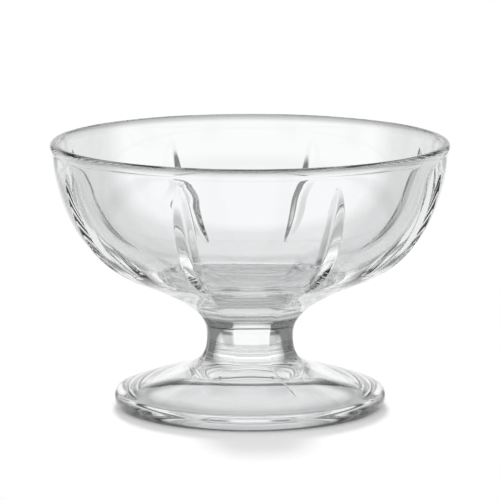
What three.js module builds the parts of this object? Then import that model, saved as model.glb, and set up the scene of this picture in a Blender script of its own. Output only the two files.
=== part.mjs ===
// Footed dessert coupe in clear plastic: a bowl with pointed V-grooves, a waisted eight-sided stem
// and a round foot. The stem has a round spigot at each end, bonded into the bowl and the foot.
// Millimetres, +Z up, origin in the middle of the plane that the foot stands on. A panel faces -Y.
import * as THREE from "three";

// Driving dimensions: what goes round
const PANELS = 8; // panels of the bowl, and sides of the stem
const PANEL_STEPS = 4; // straight steps across one panel, between two grooves
const LEAST_GROOVE = 0.3; // where a groove comes to a point, its edges keep this share of its width apart

// Driving dimensions: bowl
const RIM_HEIGHT = 73.8; // table to the top of the rim
const RIM_RADIUS = 55; // outside of the rim's bead
const BEAD = 0.6; // how far the bead stands proud of the wall
const RIM_THICKNESS = 2.8; // rim, outside to inside
const LIP_HEIGHT = 2.4; // rounded lip, top to where the wall starts
const CREASE_RADIUS = 33.4; // edge where the bowl's wall ends and the neck begins
const CREASE_HEIGHT = 36.8;
const WALL_LEAN = 2.9; // how far the upper wall leans in over its straight run
const WALL_RUN = 0.8; // straight run of the upper wall, as a share of the wall's height
const WALL_TURN_OUT = 3.3; // handle of the wall's round lower turn
const WALL_TURN_UP = 2;
const FLOOR_THICKNESS = 7; // bowl's floor over the joint with the stem, in the middle
const FLOOR_FLATNESS = 30; // how far out the floor stays nearly flat
const FLOOR_SLOPE = 0.2; // rise of the floor over that distance
const INSIDE_LEAN = 1.9; // how far the inside leans in over its straight run
const INSIDE_RUN = 0.802; // straight run of the inside, as a share of its height

// Driving dimensions: panels of the bowl, which are round at the rim and flatter below
const PANEL_FLAT = 0.18; // share of a flat side in the panels' section, below the rim
const CREASE_FLAT = 0.4; // the same at the crease
const PANELS_BEGIN = 1.8; // rim to where the panels begin to flatten
const PANELS_FULL = 9.8; // rim to where they have their flatness
const CREASE_BLEND = 13; // height over the crease in which they flatten further

// Driving dimensions: grooves between the panels
const GROOVE_DROP = 5.3; // rim to the groove's upper point
const GROOVE_HALF_WIDTH = 2.9; // widest place, valley to edge
const GROOVE_DEPTH = 1.95; // deepest place
const GROOVE_LOWER_TAPER = 0.45; // powers of the leaf outline at its two ends
const GROOVE_UPPER_TAPER = 0.5;
const GROOVE_DEPTH_TAPER = 0.85; // power of the depth at the upper end, where the groove runs out shallow

// Driving dimensions: stem
const WAIST_HEIGHT = 20.2; // table to the narrowest place
const WAIST_FLAT = 11.9; // axis to a flat side at the waist
const SIDES_FLAT = 0.4; // share of a flat side in the stem's section
const NECK_TURN_IN = 8.4; // handles of the neck's curve, at the crease and at the waist
const NECK_TURN_DOWN = 3.8;
const NECK_STRAIGHT = 8.4;
const BOWL_JOINT_DROP = 9.8; // crease to the joint with the bowl
const FOOT_JOINT_DROP = 5.4; // waist to the joint with the foot
const SPIGOT_RADIUS = 6;
const SPIGOT_LENGTH = 3;
const FIT_CLEARANCE = 0.3; // round a spigot and at its end

// Driving dimensions: foot
const FOOT_RADIUS = 37.5;
const EDGE_HEIGHT = 2.9; // table to the widest place of the edge
const EDGE_TOP_INSET = 1.7; // widest place to where the edge's round top starts
const EDGE_TOP_RISE = 2.4;
const REST_INSET = 1.6; // widest place to the flat ring that touches the table
const REST_WIDTH = 3; // that ring, outside to inside
const HOLLOW_HEIGHT = 9.2; // domed hollow under the foot, in the middle
const FLARE_STRAIGHT = 11.2; // handles of the curve from the waist out to the edge
const FLARE_OUT = 17.7;
const FLARE_UP = 7;

// Where the flat sides are full and where they end, as shares of the neck's and the flare's curves
const SIDES_FULL = 0.75;
const SIDES_FADE = 0.25;
const SIDES_GONE = 0.62;

// Steps along the curves
const INSIDE_STEPS = 14;
const LIP_STEPS = 4;
const WALL_STEPS = 16;
const NECK_STEPS = 6;
const STEM_STEPS = 4;
const FLARE_STEPS = 9;
const EDGE_STEPS = 4;
const HOLLOW_STEPS = 9;

// Derived sizes
const PANEL_ANGLE = (2 * Math.PI) / PANELS;
const BOWL_JOINT = CREASE_HEIGHT - BOWL_JOINT_DROP;
const FOOT_JOINT = WAIST_HEIGHT - FOOT_JOINT_DROP;
const SOCKET_RADIUS = SPIGOT_RADIUS + FIT_CLEARANCE;
const SOCKET_DEPTH = SPIGOT_LENGTH + FIT_CLEARANCE;
const FLOOR_HEIGHT = BOWL_JOINT + FLOOR_THICKNESS;
const GROOVE_TOP = RIM_HEIGHT - GROOVE_DROP;
const REST_RADIUS = FOOT_RADIUS - REST_INSET;
const HOLLOW_RADIUS = REST_RADIUS - REST_WIDTH;

// Outlines, each point as (distance from the axis, height)
const at = (radius, height) => new THREE.Vector2(radius, height);
const curve = (...points) => new THREE.CubicBezierCurve(...points);

const wallTop = at(RIM_RADIUS - BEAD, RIM_HEIGHT - LIP_HEIGHT);
const crease = at(CREASE_RADIUS, CREASE_HEIGHT);
const waist = at(WAIST_FLAT, WAIST_HEIGHT);
const insideTop = at(RIM_RADIUS - RIM_THICKNESS, wallTop.y);
const lipTop = at(RIM_RADIUS - RIM_THICKNESS / 2, RIM_HEIGHT);
const edgeTop = at(FOOT_RADIUS - EDGE_TOP_INSET, EDGE_HEIGHT + EDGE_TOP_RISE);
const edge = at(FOOT_RADIUS, EDGE_HEIGHT);

const wallCurve = curve(
  wallTop,
  at(wallTop.x - WALL_LEAN, wallTop.y - WALL_RUN * (wallTop.y - crease.y)),
  at(crease.x + WALL_TURN_OUT, crease.y + WALL_TURN_UP),
  crease,
);
const neckCurve = curve(
  crease,
  at(crease.x - NECK_TURN_IN, crease.y - NECK_TURN_DOWN),
  at(waist.x, waist.y + NECK_STRAIGHT),
  waist,
);
const flareCurve = curve(
  waist,
  at(waist.x, waist.y - FLARE_STRAIGHT),
  at(edgeTop.x - FLARE_OUT, edgeTop.y + FLARE_UP),
  edgeTop,
);
const insideCurve = curve(
  at(0, FLOOR_HEIGHT),
  at(FLOOR_FLATNESS, FLOOR_HEIGHT + FLOOR_SLOPE),
  at(insideTop.x - INSIDE_LEAN, insideTop.y - INSIDE_RUN * (insideTop.y - FLOOR_HEIGHT)),
  insideTop,
);
const lipInsideCurve = curve(
  insideTop,
  at(insideTop.x, RIM_HEIGHT - LIP_HEIGHT / 3),
  at(lipTop.x - RIM_THICKNESS / 4, RIM_HEIGHT),
  lipTop,
);
const lipOutsideCurve = curve(
  lipTop,
  at(RIM_RADIUS + BEAD / 3, RIM_HEIGHT),
  at(RIM_RADIUS + BEAD / 3, wallTop.y + LIP_HEIGHT / 4),
  wallTop,
);
const edgeUpperCurve = curve(
  edgeTop,
  at(edgeTop.x + EDGE_TOP_INSET * 0.7, edgeTop.y - EDGE_TOP_RISE * 0.2),
  at(edge.x, edge.y + EDGE_TOP_RISE * 0.5),
  edge,
);
const edgeLowerCurve = curve(
  edge,
  at(edge.x, edge.y * 0.4),
  at(REST_RADIUS + REST_INSET * 0.5, 0),
  at(REST_RADIUS, 0),
);
const hollowCurve = curve(
  at(HOLLOW_RADIUS, 0),
  at(HOLLOW_RADIUS, HOLLOW_HEIGHT * 0.37),
  at(HOLLOW_RADIUS * 0.52, HOLLOW_HEIGHT * 0.82),
  at(0, HOLLOW_HEIGHT),
);

const ease = (from, to, value) => THREE.MathUtils.smoothstep(value, from, to);

// Leaf outline of a groove: 1 at the fullest height, 0 at both points.
function leaf(height, upperTaper) {
  const share = (height - CREASE_HEIGHT) / (GROOVE_TOP - CREASE_HEIGHT);
  if (share <= 0 || share >= 1) return 0;
  const fullest = GROOVE_LOWER_TAPER / (GROOVE_LOWER_TAPER + upperTaper);
  const lower = (share / fullest) ** GROOVE_LOWER_TAPER;
  const upper = ((1 - share) / (1 - fullest)) ** upperTaper;
  return lower * upper;
}

// Half width and depth of a groove at a height on the wall.
function grooveAt(height) {
  return {
    halfWidth: GROOVE_HALF_WIDTH * Math.max(leaf(height, GROOVE_UPPER_TAPER), LEAST_GROOVE),
    depth: GROOVE_DEPTH * leaf(height, GROOVE_DEPTH_TAPER),
  };
}

// Share of a flat side in the panels' section at a height on the wall.
function wallFlat(height) {
  const upper = 1 - ease(RIM_HEIGHT - PANELS_FULL, RIM_HEIGHT - PANELS_BEGIN, height);
  const lower = 1 - ease(CREASE_HEIGHT, CREASE_HEIGHT + CREASE_BLEND, height);
  return PANEL_FLAT * upper + (CREASE_FLAT - PANEL_FLAT) * lower;
}

// One ring of points round the axis. flat is the share of a flat-sided outline in the section, from 0,
// round, to 1, eight flat sides. groove is given on the wall only: there the columns beside each valley
// follow the groove's edges, and elsewhere they are even.
function ring({ x: radius, y: height }, flat = 0, groove = null) {
  const points = [];
  const evenAngle = PANEL_ANGLE / (PANEL_STEPS + 2);
  const edgeAngle = groove ? Math.min(groove.halfWidth / radius, PANEL_ANGLE / 4) : evenAngle;
  for (let panel = 0; panel < PANELS; panel += 1) {
    const valley = (panel + 0.5) * PANEL_ANGLE;
    const angles = [valley];
    for (let step = 0; step <= PANEL_STEPS; step += 1) {
      const across = step / PANEL_STEPS;
      angles.push(valley + edgeAngle + across * (PANEL_ANGLE - 2 * edgeAngle));
    }
    angles.forEach((angle, index) => {
      const fromMiddle = Math.abs(angle - valley - PANEL_ANGLE / 2);
      const side = 1 - flat + flat / Math.cos(fromMiddle);
      const cut = index === 0 && groove ? groove.depth : 0;
      const reach = radius * side - cut;
      points.push(new THREE.Vector3(reach * Math.sin(angle), -reach * Math.cos(angle), height));
    });
  }
  return points;
}

// Rings along a curve, without its first point and, where it ends on the axis, without its last one.
function rings(path, steps, flatAt = () => 0) {
  const made = [];
  for (let step = 1; step <= steps; step += 1) {
    const share = step / steps;
    const point = path.getPoint(share);
    if (point.x > 0) made.push(ring(point, flatAt(share)));
  }
  return made;
}

// Rings down the grooved wall.
function wallRings() {
  const made = [];
  for (let step = 1; step <= WALL_STEPS; step += 1) {
    const point = wallCurve.getPoint(step / WALL_STEPS);
    made.push(ring(point, wallFlat(point.y), grooveAt(point.y)));
  }
  return made;
}

// Part of a curve between two shares of its length parameter.
function stretch(path, from, to) {
  return { getPoint: (share) => path.getPoint(from + share * (to - from)) };
}

// Share of a falling curve at which it passes a height.
function shareAtHeight(path, height) {
  let above = 0;
  let below = 1;
  for (let halving = 0; halving < 40; halving += 1) {
    const middle = (above + below) / 2;
    if (path.getPoint(middle).y > height) above = middle;
    else below = middle;
  }
  return below;
}

// Closed solid from rings that start and end with a point on the axis.
function solid(startHeight, ringList, endHeight) {
  const count = ringList[0].length;
  const points = [new THREE.Vector3(0, 0, startHeight), ...ringList.flat(), new THREE.Vector3(0, 0, endHeight)];
  const last = points.length - 1;
  const triangles = [];
  for (let column = 0; column < count; column += 1) {
    const next = (column + 1) % count;
    triangles.push(0, 1 + column, 1 + next);
    for (let row = 0; row < ringList.length - 1; row += 1) {
      const here = 1 + row * count;
      const there = here + count;
      triangles.push(here + column, there + column, there + next);
      triangles.push(here + column, there + next, here + next);
    }
    const lastRing = 1 + (ringList.length - 1) * count;
    triangles.push(lastRing + column, last, lastRing + next);
  }
  const geometry = new THREE.BufferGeometry();
  geometry.setAttribute("position", new THREE.Float32BufferAttribute(points.flatMap((p) => p.toArray()), 3));
  geometry.setIndex(triangles);
  geometry.computeVertexNormals();
  return geometry;
}

const neckFlat = (share) => CREASE_FLAT + (SIDES_FLAT - CREASE_FLAT) * ease(0, SIDES_FULL, share);
const flareFlat = (share) => SIDES_FLAT * (1 - ease(SIDES_FADE, SIDES_GONE, share));
const bowlJointShare = shareAtHeight(neckCurve, BOWL_JOINT);
const footJointShare = shareAtHeight(flareCurve, FOOT_JOINT);

// Bowl: up the inside, over the lip, down the grooved wall and the neck, then the socket.
function bowlGeometry() {
  const neckAbove = stretch(neckCurve, 0, bowlJointShare);
  return solid(
    FLOOR_HEIGHT,
    [
      ...rings(insideCurve, INSIDE_STEPS),
      ...rings(lipInsideCurve, LIP_STEPS),
      ...rings(lipOutsideCurve, LIP_STEPS),
      ...wallRings(),
      ...rings(neckAbove, NECK_STEPS, (share) => neckFlat(share * bowlJointShare)),
      ring(at(SOCKET_RADIUS, BOWL_JOINT)),
      ring(at(SOCKET_RADIUS, BOWL_JOINT + SOCKET_DEPTH)),
    ],
    BOWL_JOINT + SOCKET_DEPTH,
  );
}

// Stem: upper spigot, down the flat sides past the waist, lower spigot.
function stemGeometry() {
  const neckBelow = stretch(neckCurve, bowlJointShare, 1);
  const neckBelowFlat = (share) => neckFlat(bowlJointShare + share * (1 - bowlJointShare));
  const flareAbove = stretch(flareCurve, 0, footJointShare);
  return solid(
    BOWL_JOINT + SPIGOT_LENGTH,
    [
      ring(at(SPIGOT_RADIUS, BOWL_JOINT + SPIGOT_LENGTH)),
      ring(at(SPIGOT_RADIUS, BOWL_JOINT)),
      ring(neckBelow.getPoint(0), neckBelowFlat(0)),
      ...rings(neckBelow, STEM_STEPS, neckBelowFlat),
      ...rings(flareAbove, STEM_STEPS, (share) => flareFlat(share * footJointShare)),
      ring(at(SPIGOT_RADIUS, FOOT_JOINT)),
      ring(at(SPIGOT_RADIUS, FOOT_JOINT - SPIGOT_LENGTH)),
    ],
    FOOT_JOINT - SPIGOT_LENGTH,
  );
}

// Foot: socket, flare, rounded edge, flat ring that touches the table, domed hollow.
function footGeometry() {
  const flareBelow = stretch(flareCurve, footJointShare, 1);
  const flareBelowFlat = (share) => flareFlat(footJointShare + share * (1 - footJointShare));
  return solid(
    FOOT_JOINT - SOCKET_DEPTH,
    [
      ring(at(SOCKET_RADIUS, FOOT_JOINT - SOCKET_DEPTH)),
      ring(at(SOCKET_RADIUS, FOOT_JOINT)),
      ring(flareBelow.getPoint(0), flareBelowFlat(0)),
      ...rings(flareBelow, FLARE_STEPS, flareBelowFlat),
      ...rings(edgeUpperCurve, EDGE_STEPS),
      ...rings(edgeLowerCurve, EDGE_STEPS),
      ring(at(HOLLOW_RADIUS, 0)),
      ...rings(hollowCurve, HOLLOW_STEPS),
    ],
    HOLLOW_HEIGHT,
  );
}

// Clear plastic, almost colourless
function clearPlastic() {
  return new THREE.MeshStandardMaterial({
    color: 0xeef4f3,
    roughness: 0.05,
    metalness: 0,
    transparent: true,
    opacity: 0.35,
  });
}

function piece(name, geometry) {
  const mesh = new THREE.Mesh(geometry, clearPlastic());
  mesh.name = name;
  return mesh;
}

const coupe = new THREE.Group();
coupe.name = "coupe";
coupe.add(piece("bowl", bowlGeometry()));
coupe.add(piece("stem", stemGeometry()));
coupe.add(piece("foot", footGeometry()));

export default coupe;
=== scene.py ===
# Footed dessert coupe in clear plastic: grooved bowl, waisted eight-sided stem and round foot.
import math

import bpy
import numpy as np
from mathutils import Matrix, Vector


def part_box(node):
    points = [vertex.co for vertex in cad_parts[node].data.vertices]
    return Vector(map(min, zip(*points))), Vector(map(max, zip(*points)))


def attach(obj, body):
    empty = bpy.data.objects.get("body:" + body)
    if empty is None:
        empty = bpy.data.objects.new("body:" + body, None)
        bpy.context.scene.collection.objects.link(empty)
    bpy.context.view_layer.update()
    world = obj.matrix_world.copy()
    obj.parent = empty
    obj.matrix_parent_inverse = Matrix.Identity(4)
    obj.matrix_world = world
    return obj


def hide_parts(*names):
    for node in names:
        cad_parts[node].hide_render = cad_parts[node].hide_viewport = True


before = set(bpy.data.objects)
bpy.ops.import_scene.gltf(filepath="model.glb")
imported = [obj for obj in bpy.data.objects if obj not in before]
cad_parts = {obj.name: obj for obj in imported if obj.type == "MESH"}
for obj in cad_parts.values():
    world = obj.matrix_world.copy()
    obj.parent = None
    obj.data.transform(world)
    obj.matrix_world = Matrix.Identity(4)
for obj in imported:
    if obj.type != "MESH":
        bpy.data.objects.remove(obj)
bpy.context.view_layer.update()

MM = 0.001
scene = bpy.context.scene
scene.view_settings.view_transform = "Standard"

# Sizes taken from the frame, in millimetres like all sizes of the body below
bowl_low, bowl_high = [Vector(corner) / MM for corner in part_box("bowl")]
foot_high = Vector(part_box("foot")[1]) / MM
RIM_RADIUS = bowl_high.x
RIM_HEIGHT = bowl_high.z
BOWL_JOINT = bowl_low.z
FOOT_JOINT = foot_high.z
FOOT_RADIUS = foot_high.x

# Places on the outline, each as (distance from the axis, height)
LIP_CREST = (RIM_RADIUS - 1.4, RIM_HEIGHT)
BEAD = (RIM_RADIUS, RIM_HEIGHT - 1.4)
WALL_TOP = (RIM_RADIUS - 0.5, RIM_HEIGHT - 3.4)
CREASE = (33.4, 36.8)
WAIST = (11.9, 20.2)
EDGE_TOP = (FOOT_RADIUS - 1.7, 5.3)
EDGE = (FOOT_RADIUS, 2.9)
REST = (FOOT_RADIUS - 1.6, 0.0)
HOLLOW_RIM = (REST[0] - 3.0, 0.0)
HOLLOW_TOP = (0.0, 9.2)
INSIDE_FLOOR = (0.0, 34.0)
INSIDE_TOP = (RIM_RADIUS - 2.8, RIM_HEIGHT - 2.2)

# Stretches of the outline, each a cubic curve: its start, two handles and its end
INSIDE = (INSIDE_FLOOR, (30.0, 34.2), (50.3, 41.4), INSIDE_TOP)
LIP_INSIDE = (INSIDE_TOP, (INSIDE_TOP[0] + 0.1, RIM_HEIGHT - 0.8),
              (LIP_CREST[0] - 0.8, RIM_HEIGHT), LIP_CREST)
LIP_OUTSIDE = (LIP_CREST, (RIM_RADIUS - 0.5, RIM_HEIGHT), (RIM_RADIUS, RIM_HEIGHT - 0.5), BEAD)
BEAD_FOOT = (BEAD, (RIM_RADIUS, RIM_HEIGHT - 2.2), (WALL_TOP[0] + 0.1, WALL_TOP[1] + 0.9), WALL_TOP)
WALL = (WALL_TOP, (51.4, 43.8), (36.7, 38.8), CREASE)
NECK = (CREASE, (25.0, 33.0), (WAIST[0], 28.6), WAIST)
FLARE = (WAIST, (WAIST[0], 9.0), (18.1, 12.3), EDGE_TOP)
EDGE_UPPER = (EDGE_TOP, (EDGE_TOP[0] + 1.1, EDGE_TOP[1] - 0.45), (EDGE[0], EDGE[1] + 1.3), EDGE)
EDGE_LOWER = (EDGE, (EDGE[0], 0.9), (REST[0] + 0.9, 0.0), REST)
HOLLOW = (HOLLOW_RIM, (31.5, 3.4), (17.0, 7.5), HOLLOW_TOP)

# Rings of points along each stretch. The neck and the flare have theirs above and below a joint.
INSIDE_RINGS = 56
LIP_RINGS = 8
BEAD_RINGS = 10
WALL_RINGS = 84
NECK_RINGS = (40, 14)
FLARE_RINGS = (12, 52)
EDGE_RINGS = 14
HOLLOW_RINGS = 26
AXIS_RING = 0.02  # radius of the ring next to the axis

# Panels: share of a flat side in the section, round at the rim and flatter below
PANELS = 8
PANEL_ANGLE = 2 * math.pi / PANELS
HALF_PANEL = PANEL_ANGLE / 2
PANEL_FLAT = 0.18
CREASE_FLAT = 0.4
WAIST_FLAT = 0.4
PANELS_FADE = (64.0, 72.0)  # heights between which the panels end below the rim
CREASE_BLEND = (CREASE[1], 50.0)  # heights in which they flatten further towards the crease
NECK_FLAT_FULL = 0.75  # share of the neck's curve where the waist's flatness is reached
FLARE_FLAT_FADE = (0.25, 0.62)  # shares of the flare's curve between which the sides end
ARRIS_SOFTNESS = 0.02

# Grooves: leaf outline, and slope of the two faces towards the valley
GROOVE_HEIGHTS = (CREASE[1], 68.5)
GROOVE_WIDTH = 5.55
GROOVE_TAPERS = (0.45, 0.5)
GROOVE_SLOPE = 0.75
GROOVE_SLOPE_TAPER = 0.35
VALLEY_SOFTNESS = 0.12
VALLEY_DEPTH_KEPT = 0.4  # share of the depth lost by softening that is given back
EDGE_SOFTNESS = 0.06
CUT_END = 1.8  # half widths from the valley where the soft edge ends
CUT_FADE = 0.5  # half widths over which it fades out there

# Columns across a groove, in half widths from its valley, and across a panel
GROOVE_STEPS = (0.03, 0.07, 0.12, 0.2, 0.35, 0.5, 0.65, 0.8, 0.88, 0.93, 0.97, 1.0, 1.03, 1.07, 1.12, 1.25)
PANEL_COLUMNS = 14
LEAST_HALF_WIDTH = 0.45  # spacing of the columns where there is no groove
LEAST_RADIUS = 1.0  # the columns keep this radius's spacing nearer to the axis
WIDEST_GROOVE = 0.7  # share of a panel that a groove's columns may take

# Mould seam: a fine ridge down two opposite arrises of the foot
SEAM_PANELS = (0, 4)
SEAM_HEIGHT = 0.16
SEAM_HALF_WIDTH = 0.16
SEAM_RADII = (13.0, 15.5, 26.0, 31.0)


def bezier(points, shares):
    """Points of a cubic curve at the given shares of its parameter."""
    a, b, c, d = (np.array(point, float) for point in points)
    t = np.asarray(shares, float)[:, None]
    return (1 - t) ** 3 * a + 3 * (1 - t) ** 2 * t * b + 3 * (1 - t) * t ** 2 * c + t ** 3 * d


def ease(low, high, value):
    """Smooth step from 0 at low to 1 at high."""
    share = min(max((value - low) / (high - low), 0.0), 1.0)
    return share * share * (3 - 2 * share)


def share_at_height(points, height):
    """Share of a falling curve at which it passes a height, found by halving."""
    above, below = 0.0, 1.0
    for _ in range(50):
        middle = (above + below) / 2
        if bezier(points, [middle])[0, 1] > height:
            above = middle
        else:
            below = middle
    return below


def wall_flatness(height):
    """Share of a flat side in the bowl's section at a height."""
    upper = 1 - ease(*PANELS_FADE, height)
    lower = 1 - ease(*CREASE_BLEND, height)
    return PANEL_FLAT * upper + (CREASE_FLAT - PANEL_FLAT) * lower


def neck_flatness(share):
    """Share of a flat side at a share of the neck's curve."""
    return CREASE_FLAT + (WAIST_FLAT - CREASE_FLAT) * ease(0, NECK_FLAT_FULL, share)


def flare_flatness(share):
    """Share of a flat side at a share of the flare's curve."""
    return WAIST_FLAT * (1 - ease(*FLARE_FLAT_FADE, share))


def groove_size(height, flat):
    """Half width and depth of a groove at a height on the wall."""
    low, high = GROOVE_HEIGHTS
    share = (height - low) / (high - low)
    if not 0 < share < 1:
        return 0.0, 0.0
    half_width = GROOVE_WIDTH * share ** GROOVE_TAPERS[0] * (1 - share) ** GROOVE_TAPERS[1]
    slope = GROOVE_SLOPE * (1 - share) ** GROOVE_SLOPE_TAPER + flat * math.tan(HALF_PANEL)
    return half_width, half_width * slope


def groove_cut(share):
    """How deep a groove is cut, as a share of its depth, at a share of its half width from the valley."""
    rise = 1 - np.sqrt(share ** 2 + VALLEY_SOFTNESS ** 2) + VALLEY_DEPTH_KEPT * VALLEY_SOFTNESS
    cut = 0.5 * (rise + np.sqrt(rise ** 2 + EDGE_SOFTNESS ** 2))
    return cut * np.clip((CUT_END - share) / CUT_FADE, 0, 1)


def seam_height(radius, on_foot):
    """Height of the mould seam where the foot has this radius."""
    if not on_foot:
        return 0.0
    start, full, fade, end = SEAM_RADII
    return SEAM_HEIGHT * ease(start, full, radius) * (1 - ease(fade, end, radius))


def ring(radius, height, flat=0.0, half_width=0.0, depth=0.0, on_foot=False):
    """One ring of points round the axis. radius is measured to the middle of a panel."""
    steps = np.array(GROOVE_STEPS)
    across_groove = np.concatenate([-steps[::-1], [0.0], steps])
    across_panel = np.arange(1, PANEL_COLUMNS + 1) / (PANEL_COLUMNS + 1)
    widest = WIDEST_GROOVE * HALF_PANEL / GROOVE_STEPS[-1]
    unit = min(max(half_width, LEAST_HALF_WIDTH) / max(radius, LEAST_RADIUS), widest)
    gap = PANEL_ANGLE - 2 * GROOVE_STEPS[-1] * unit
    from_valley = np.concatenate([across_groove * unit, GROOVE_STEPS[-1] * unit + across_panel * gap])
    to_arris = np.minimum(np.abs(from_valley), PANEL_ANGLE - np.abs(from_valley))
    from_middle = HALF_PANEL - np.sqrt(to_arris ** 2 + ARRIS_SOFTNESS ** 2)
    reach = radius * (1 - flat + flat / np.cos(from_middle))
    if depth > 0:
        reach = reach - depth * groove_cut(to_arris / unit)
    seam = seam_height(radius, on_foot) * np.exp(-(from_valley * radius / SEAM_HALF_WIDTH) ** 2)
    points = []
    for panel in range(PANELS):
        angle = (panel + 0.5) * PANEL_ANGLE + from_valley
        lift = seam if panel in SEAM_PANELS else np.zeros_like(seam)
        points.append(np.stack([reach * np.sin(angle), -reach * np.cos(angle), height + lift], axis=1))
    return np.concatenate(points)


def round_rings(points, count):
    """Round rings along a stretch of the outline, without its start."""
    outline = bezier(points, np.linspace(0, 1, count + 1)[1:])
    return [ring(max(radius, AXIS_RING), height) for radius, height in outline]


def wall_rings():
    """Rings down the bowl's wall, with its panels and grooves."""
    rings = []
    for radius, height in bezier(WALL, np.linspace(0, 1, WALL_RINGS + 1)[1:]):
        flat = wall_flatness(height)
        rings.append(ring(radius, height, flat, *groove_size(height, flat)))
    return rings


def sided_rings(points, first, last, count, flatness, on_foot=False):
    """Eight-sided rings between two shares of a curve, without the first."""
    shares = np.linspace(first, last, count + 1)[1:]
    outline = zip(shares, bezier(points, shares))
    return [ring(radius, height, flatness(share), on_foot=on_foot) for share, (radius, height) in outline]


def body_rings():
    """Rings from the middle of the inside floor, over the rim, down to the middle of the hollow underneath.
    Also gives the places in that list of the two rings that lie in the joint planes."""
    neck_split = share_at_height(NECK, BOWL_JOINT)
    flare_split = share_at_height(FLARE, FOOT_JOINT)
    rings = round_rings(INSIDE, INSIDE_RINGS)
    rings += round_rings(LIP_INSIDE, LIP_RINGS)
    rings += round_rings(LIP_OUTSIDE, LIP_RINGS)
    rings += round_rings(BEAD_FOOT, BEAD_RINGS)
    rings += wall_rings()
    rings += sided_rings(NECK, 0, neck_split, NECK_RINGS[0], neck_flatness)
    upper_joint = len(rings) - 1
    rings += sided_rings(NECK, neck_split, 1, NECK_RINGS[1], neck_flatness)
    rings += sided_rings(FLARE, 0, flare_split, FLARE_RINGS[0], flare_flatness)
    lower_joint = len(rings) - 1
    rings += sided_rings(FLARE, flare_split, 1, FLARE_RINGS[1], flare_flatness, on_foot=True)
    rings += round_rings(EDGE_UPPER, EDGE_RINGS)
    rings += round_rings(EDGE_LOWER, EDGE_RINGS)
    rings.append(ring(*HOLLOW_RIM))
    rings += round_rings(HOLLOW, HOLLOW_RINGS)
    return rings, upper_joint, lower_joint


def side_faces(first_ring, last_ring, columns):
    """Quads between neighbouring rings, wound to face outwards."""
    row = (np.arange(first_ring, last_ring) * columns)[:, None]
    here = np.arange(columns)[None, :]
    there = (here + 1) % columns
    return np.stack([row + here, row + columns + here, row + columns + there, row + there], -1).reshape(-1, 4)


def cap_faces(ring_index, middle, columns, upwards):
    """Fan of triangles from a point on the axis to a ring."""
    start = ring_index * columns
    fan = []
    for column in range(columns):
        here, there = start + column, start + (column + 1) % columns
        fan.append((middle, here, there) if upwards else (middle, there, here))
    return fan


def body_normals(points, columns, ring_count):
    """Smooth normals of the whole body, so that they run on unbroken across the joints."""
    mesh = bpy.data.meshes.new("whole_body")
    mesh.from_pydata(points.tolist(), [], side_faces(0, ring_count - 1, columns).tolist())
    normals = np.empty(len(points) * 3, np.float32)
    mesh.vertex_normals.foreach_get("vector", normals)
    bpy.data.meshes.remove(mesh)
    return normals.reshape(-1, 3)


def body_piece(name, rings, normals, top_is_joint, bottom_is_joint, materials):
    """Closed piece from a run of rings, with a flat face at each end that is a joint."""
    columns = len(rings[0])
    points = np.concatenate(rings) * MM
    ends = [(0.0, 0.0, float(rings[0][0, 2]) * MM), (0.0, 0.0, float(rings[-1][0, 2]) * MM)]
    middle = len(points)
    sides = side_faces(0, len(rings) - 1, columns).tolist()
    top = cap_faces(0, middle, columns, True)
    bottom = cap_faces(len(rings) - 1, middle + 1, columns, False)
    mesh = bpy.data.meshes.new(name)
    mesh.from_pydata(points.tolist() + ends, [], sides + top + bottom)
    mesh.polygons.foreach_set("use_smooth", [True] * len(mesh.polygons))
    bond_index = [int(top_is_joint)] * len(top) + [int(bottom_is_joint)] * len(bottom)
    mesh.polygons.foreach_set("material_index", [0] * len(sides) + bond_index)
    corners = normals[np.array(sides).reshape(-1)].tolist()
    corners += [(0.0, 0.0, 1.0)] * (3 * len(top)) + [(0.0, 0.0, -1.0)] * (3 * len(bottom))
    mesh.normals_split_custom_set(corners)
    for material in materials:
        mesh.materials.append(material)
    piece = bpy.data.objects.new(name, mesh)
    scene.collection.objects.link(piece)
    return piece


# Colour sockets of a Mix node
MIX_FIRST = 6
MIX_SECOND = 7
MIX_RESULT = 2
WHITE = (1.0, 1.0, 1.0, 1.0)


def feed(tree, socket, value):
    """Link another node's output to a socket, or set a plain value on it."""
    if isinstance(value, bpy.types.NodeSocket):
        tree.links.new(value, socket)
    else:
        socket.default_value = value


def math_node(tree, operation, *values):
    """Math node with links or plain values on its inputs. Gives its output."""
    node = tree.nodes.new("ShaderNodeMath")
    node.operation = operation
    for socket, value in zip(node.inputs, values):
        feed(tree, socket, value)
    return node.outputs[0]


def ramp(tree, source, stops, low, high):
    """Colour ramp whose stops are given in the source's own units, over low to high."""
    node = tree.nodes.new("ShaderNodeValToRGB")
    share = math_node(tree, "DIVIDE", math_node(tree, "SUBTRACT", source, low), high - low)
    tree.links.new(share, node.inputs["Fac"])
    elements = node.color_ramp.elements
    while len(elements) < len(stops):
        elements.new(0.5)
    for element, (place, value) in zip(elements, stops):
        element.position = (place - low) / (high - low)
        element.color = (value, value, value, 1)
    return node.outputs["Color"]


def colour_mix(tree, share, first, second, blend="MIX"):
    """Mix of two colours, each a link or a plain value. Gives its output."""
    node = tree.nodes.new("ShaderNodeMix")
    node.data_type = "RGBA"
    node.blend_type = blend
    feed(tree, node.inputs["Factor"], share)
    feed(tree, node.inputs[MIX_FIRST], first)
    feed(tree, node.inputs[MIX_SECOND], second)
    return node.outputs[MIX_RESULT]


# Clear plastic: almost colourless, with a tint and a surface that vary faintly
REFRACTION = 1.5
TINTS = ((0.955, 0.963, 0.967, 1), (0.968, 0.976, 0.979, 1))
TINT_SCALE = 30.0
WAVE_SCALE = 70.0
WAVE_DETAIL = 1.0
WAVE_STRENGTH = 0.01
WAVE_DISTANCE = 1 * MM

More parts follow.
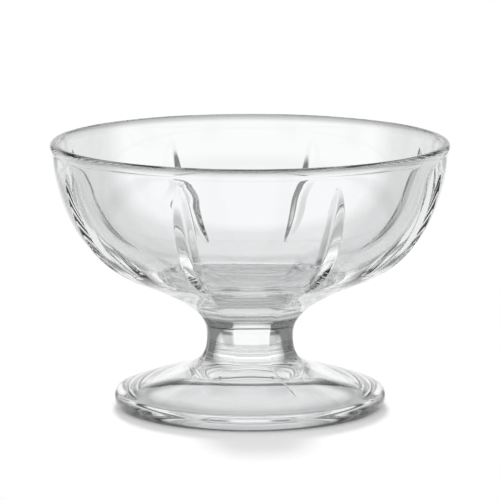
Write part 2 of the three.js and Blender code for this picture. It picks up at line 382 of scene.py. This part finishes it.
# Painted shade, as the share of colour kept at each height: the rounded rim and the foot's edge are painted
# duller than the walls, standing in for the dark lines that bent light shows there
PAINTED_RIM_SHADE = ((0.0, 0.4), (1.6, 0.4), (3.2, 1.0),
             (RIM_HEIGHT - 2.0, 1.0), (RIM_HEIGHT - 1.3, 0.7), (RIM_HEIGHT - 0.4, 0.35))

# Painted shade where the plastic is seen edge on, standing in for its dark outlines: by its turn away from
# the eye, and how much of that at each height
PAINTED_EDGE_SHADE = ((0.24, 1.0), (0.34, 0.04), (1.0, 0.02))
PAINTED_EDGE_SHARE = ((0.0, 0.95), (3.2, 0.95), (4.0, 0.0), (10.5, 0.0), (13.0, 0.6), (15.0, 1.0), (25.2, 1.0),
              (26.0, 0.15), (32.0, 0.4), (42.0, 0.3), (RIM_HEIGHT, 0.3))


def plastic_tint(tree, place):
    """Tint that varies faintly over the body."""
    noise = tree.nodes.new("ShaderNodeTexNoise")
    noise.inputs["Scale"].default_value = TINT_SCALE
    tint = tree.nodes.new("ShaderNodeValToRGB")
    for element, colour in zip(tint.color_ramp.elements, TINTS):
        element.color = colour
    tree.links.new(place, noise.inputs["Vector"])
    tree.links.new(noise.outputs["Fac"], tint.inputs["Fac"])
    return tint.outputs["Color"]


def painted_edge_shade(tree, height):
    """Painted shade: colour darkened by how far the surface turns from the eye, standing in for dark
    outlines, in the share set for each height.
    """
    turned = tree.nodes.new("ShaderNodeLayerWeight")
    painted_edge = ramp(tree, turned.outputs["Facing"], PAINTED_EDGE_SHADE, 0, 1)
    painted_share = ramp(tree, height, PAINTED_EDGE_SHARE, 0, RIM_HEIGHT)
    return colour_mix(tree, painted_share, WHITE, painted_edge)


def plastic_wave(tree, place):
    """Normal with the faint waviness of a moulded surface."""
    noise = tree.nodes.new("ShaderNodeTexNoise")
    noise.inputs["Scale"].default_value = WAVE_SCALE
    noise.inputs["Detail"].default_value = WAVE_DETAIL
    bump = tree.nodes.new("ShaderNodeBump")
    bump.inputs["Strength"].default_value = WAVE_STRENGTH
    bump.inputs["Distance"].default_value = WAVE_DISTANCE
    tree.links.new(place, noise.inputs["Vector"])
    tree.links.new(noise.outputs["Fac"], bump.inputs["Height"])
    return bump.outputs["Normal"]


def clear_plastic():
    """Polished clear plastic, with painted shade at the rim, at the foot's edge and where it is seen edge on.
    """
    material = bpy.data.materials.new("clear_plastic")
    material.use_nodes = True
    tree = material.node_tree
    shader = tree.nodes["Principled BSDF"]
    shader.inputs["Roughness"].default_value = 0.0
    shader.inputs["IOR"].default_value = REFRACTION
    shader.inputs["Transmission Weight"].default_value = 1.0
    place = tree.nodes.new("ShaderNodeTexCoord").outputs["Object"]
    axes = tree.nodes.new("ShaderNodeSeparateXYZ")
    tree.links.new(place, axes.inputs[0])
    height = math_node(tree, "DIVIDE", axes.outputs["Z"], MM)
    # Painted shade: the rim and the foot's edge are darkened by height
    painted_rim_shade = ramp(tree, height, PAINTED_RIM_SHADE, 0, RIM_HEIGHT)
    tint_and_painted_shade = colour_mix(tree, 1.0, plastic_tint(tree, place), painted_rim_shade, "MULTIPLY")
    # Painted shade where the surface is seen edge on
    colour = colour_mix(tree, 1.0, tint_and_painted_shade, painted_edge_shade(tree, height), "MULTIPLY")
    tree.links.new(colour, shader.inputs["Base Color"])
    tree.links.new(plastic_wave(tree, place), shader.inputs["Normal"])
    return material


def bonded_face():
    """Face inside a bonded joint: the bond fills it, so nothing shows there."""
    material = bpy.data.materials.new("bonded_face")
    material.use_nodes = True
    material.node_tree.nodes["Principled BSDF"].inputs["Alpha"].default_value = 0.0
    return material


def build_coupe():
    """Bowl, stem and foot, cut from one smooth body at the two bonded joints."""
    rings, upper_joint, lower_joint = body_rings()
    columns = len(rings[0])
    normals = body_normals(np.concatenate(rings), columns, len(rings))
    materials = (clear_plastic(), bonded_face())
    cuts = {
        "bowl": (0, upper_joint, False, True),
        "stem": (upper_joint, lower_joint, True, True),
        "foot": (lower_joint, len(rings) - 1, True, False),
    }
    for node, (first, last, top_is_joint, bottom_is_joint) in cuts.items():
        part_normals = normals[first * columns:(last + 1) * columns]
        piece = body_piece("clear_" + node, rings[first:last + 1], part_normals,
                           top_is_joint, bottom_is_joint, materials)
        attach(piece, "root")
        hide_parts(node)
        piece.visible_shadow = node != "bowl"


# Camera at the photograph's place: a little left of a panel's middle, looking down by about ten degrees.
# Lengths here and below are in metres.
CAMERA_AZIMUTH = math.radians(2.8)
CAMERA_DISTANCE = 1.108
CAMERA_HEIGHT = 0.2323
AIM_HEIGHT = 0.0433
FOCAL_PIXELS = 4082.4
IMAGE_PIXELS = 500
SENSOR_WIDTH = 36.0  # millimetres, like the lens
CLIP_END = 100.0


def add_camera():
    """Camera that looks at the coupe's axis."""
    camera = bpy.data.objects.new("camera", bpy.data.cameras.new("camera"))
    scene.collection.objects.link(camera)
    camera.location = (
        -CAMERA_DISTANCE * math.sin(CAMERA_AZIMUTH),
        -CAMERA_DISTANCE * math.cos(CAMERA_AZIMUTH),
        CAMERA_HEIGHT,
    )
    pitch = math.pi / 2 - math.atan2(CAMERA_HEIGHT - AIM_HEIGHT, CAMERA_DISTANCE)
    camera.rotation_euler = (pitch, 0.0, -CAMERA_AZIMUTH)
    camera.data.sensor_width = SENSOR_WIDTH
    camera.data.lens = FOCAL_PIXELS / IMAGE_PIXELS * SENSOR_WIDTH
    camera.data.clip_end = CLIP_END
    scene.camera = camera


# Floor: a small pale disc that takes the shadow. Light that the plastic bends meets only a patch of it under
# the foot, which fades out between two radii, and past the patch it meets the studio.
FLOOR_RADIUS = 0.1
FLOOR_DROP = 0.0001
FLOOR_CORNERS = 128
FLOOR_ALBEDO = 0.72
FLOOR_GLOW_SEEN = 0.235
FLOOR_GLOW_THROUGH = 0.47
FLOOR_PATCH = (0.042, 0.05)


def floor_surface():
    """Matt floor with a soft glow that evens out its light."""
    material = bpy.data.materials.new("floor")
    material.use_nodes = True
    tree = material.node_tree
    tree.nodes.clear()
    output = tree.nodes.new("ShaderNodeOutputMaterial")
    matt = tree.nodes.new("ShaderNodeBsdfDiffuse")
    matt.inputs["Color"].default_value = (FLOOR_ALBEDO, FLOOR_ALBEDO, FLOOR_ALBEDO, 1)
    glow = tree.nodes.new("ShaderNodeEmission")
    path = tree.nodes.new("ShaderNodeLightPath")
    through = math_node(tree, "MAXIMUM", path.outputs["Is Glossy Ray"], path.outputs["Is Transmission Ray"])
    seen = math_node(tree, "MULTIPLY", path.outputs["Is Camera Ray"], FLOOR_GLOW_SEEN)
    bent = math_node(tree, "MULTIPLY", through, FLOOR_GLOW_THROUGH)
    tree.links.new(math_node(tree, "MAXIMUM", seen, bent), glow.inputs["Strength"])
    both = tree.nodes.new("ShaderNodeAddShader")
    tree.links.new(matt.outputs[0], both.inputs[0])
    tree.links.new(glow.outputs[0], both.inputs[1])
    place = tree.nodes.new("ShaderNodeTexCoord")
    reach = tree.nodes.new("ShaderNodeVectorMath")
    reach.operation = "LENGTH"
    tree.links.new(place.outputs["Object"], reach.inputs[0])
    fade = ((FLOOR_PATCH[0], 0.0), (FLOOR_PATCH[1], 1.0))
    outside = ramp(tree, reach.outputs["Value"], fade, 0, FLOOR_RADIUS)
    open_air = tree.nodes.new("ShaderNodeBsdfTransparent")
    surface = tree.nodes.new("ShaderNodeMixShader")
    tree.links.new(math_node(tree, "MULTIPLY", outside, through), surface.inputs[0])
    tree.links.new(both.outputs[0], surface.inputs[1])
    tree.links.new(open_air.outputs[0], surface.inputs[2])
    tree.links.new(surface.outputs[0], output.inputs["Surface"])
    return material


def add_floor():
    """Disc just under the coupe."""
    bpy.ops.mesh.primitive_circle_add(vertices=FLOOR_CORNERS, radius=FLOOR_RADIUS, fill_type="NGON",
                                      location=(0, 0, -FLOOR_DROP))
    floor = bpy.context.object
    floor.name = "floor"
    floor.data.materials.append(floor_surface())


# Studio: white to the camera, and for light that the plastic bends, white panels all round in line with
# the grooves' spacing, dimmer gaps between them, a darker band above and a bright ceiling.
# Stops are (degrees above the horizon, brightness).
PANEL_BRIGHTNESS = ((-90, 1.0), (18, 1.0), (22, 0.08), (27, 0.08), (31, 1.0), (72, 0.9), (80, 1.05))
GAP_BRIGHTNESS = ((-90, 0.3), (-28, 0.3), (-20, 0.6), (-7, 0.6), (-4, 0.25), (5, 0.25), (10, 0.85),
                  (17, 0.85), (22, 0.06), (27, 0.06), (31, 0.9), (72, 0.9), (80, 1.05))

# Degrees from a panel's middle between which it passes into a gap
PANEL_EDGE = (15.5, 19.0)

# Degrees from straight behind the coupe between which the gaps take on a share of the panels' light
FAR_GAPS = (40.0, 50.0)
FAR_GAP_LIFT = 0.45


def studio_light(tree):
    """Brightness of the studio in each direction. Gives its output."""
    place = tree.nodes.new("ShaderNodeTexCoord")
    axes = tree.nodes.new("ShaderNodeSeparateXYZ")
    tree.links.new(place.outputs["Generated"], axes.inputs[0])
    degrees = 180 / math.pi
    rise = math_node(tree, "ARCSINE", axes.outputs["Z"])
    height = math_node(tree, "MULTIPLY", rise, degrees)
    bearing = math_node(tree, "ARCTAN2", axes.outputs["X"], axes.outputs["Y"])
    turn = math_node(tree, "MULTIPLY", bearing, degrees)
    panel_degrees = 360 / PANELS
    whole_panels = 20 * panel_degrees  # keeps the shifted turn above zero
    shifted = math_node(tree, "ADD", turn, whole_panels - math.degrees(CAMERA_AZIMUTH))
    from_panel = math_node(tree, "PINGPONG", shifted, panel_degrees / 2)
    in_gap = ramp(tree, from_panel, ((PANEL_EDGE[0], 0.0), (PANEL_EDGE[1], 1.0)), 0.0, panel_degrees / 2)
    away = math_node(tree, "ABSOLUTE", turn)
    far = ramp(tree, away, ((FAR_GAPS[0], 0.0), (FAR_GAPS[1], FAR_GAP_LIFT)), 0, 180)
    panels = ramp(tree, height, PANEL_BRIGHTNESS, -90, 90)
    near_gaps = ramp(tree, height, GAP_BRIGHTNESS, -90, 90)
    gaps = colour_mix(tree, far, near_gaps, panels)
    return colour_mix(tree, in_gap, panels, gaps)


def add_world():
    """World that is the studio to bent light and plain white to the camera."""
    world = bpy.data.worlds.new("studio")
    scene.world = world
    world.use_nodes = True
    tree = world.node_tree
    tree.nodes.clear()
    output = tree.nodes.new("ShaderNodeOutputWorld")
    background = tree.nodes.new("ShaderNodeBackground")
    tree.links.new(background.outputs[0], output.inputs["Surface"])
    path = tree.nodes.new("ShaderNodeLightPath")
    seen = colour_mix(tree, path.outputs["Is Camera Ray"], studio_light(tree), WHITE)
    tree.links.new(seen, background.inputs["Color"])


# One soft lamp behind the coupe, which throws the shadow forwards
LAMP_PLACE = (0.0, 1.6, 0.8)
LAMP_SIZE = 0.5
LAMP_POWER = 35.0


def add_lamp():
    """Round soft lamp, aimed at the foot, that shows only by its light on the floor."""
    light = bpy.data.lights.new("back_light", "AREA")
    light.shape = "DISK"
    light.size = LAMP_SIZE
    light.energy = LAMP_POWER
    lamp = bpy.data.objects.new("back_light", light)
    scene.collection.objects.link(lamp)
    lamp.location = LAMP_PLACE
    lamp.rotation_euler = (-Vector(LAMP_PLACE)).to_track_quat("-Z", "Y").to_euler()
    lamp.visible_camera = False
    lamp.visible_glossy = False
    lamp.visible_transmission = False


# Light passes many faces of thick clear plastic before it leaves
BOUNCES = 32
GLOSSY_BOUNCES = 16
scene.cycles.max_bounces = BOUNCES
scene.cycles.transmission_bounces = BOUNCES
scene.cycles.transparent_max_bounces = BOUNCES
scene.cycles.glossy_bounces = GLOSSY_BOUNCES

build_coupe()
add_camera()
add_floor()
add_world()
add_lamp()
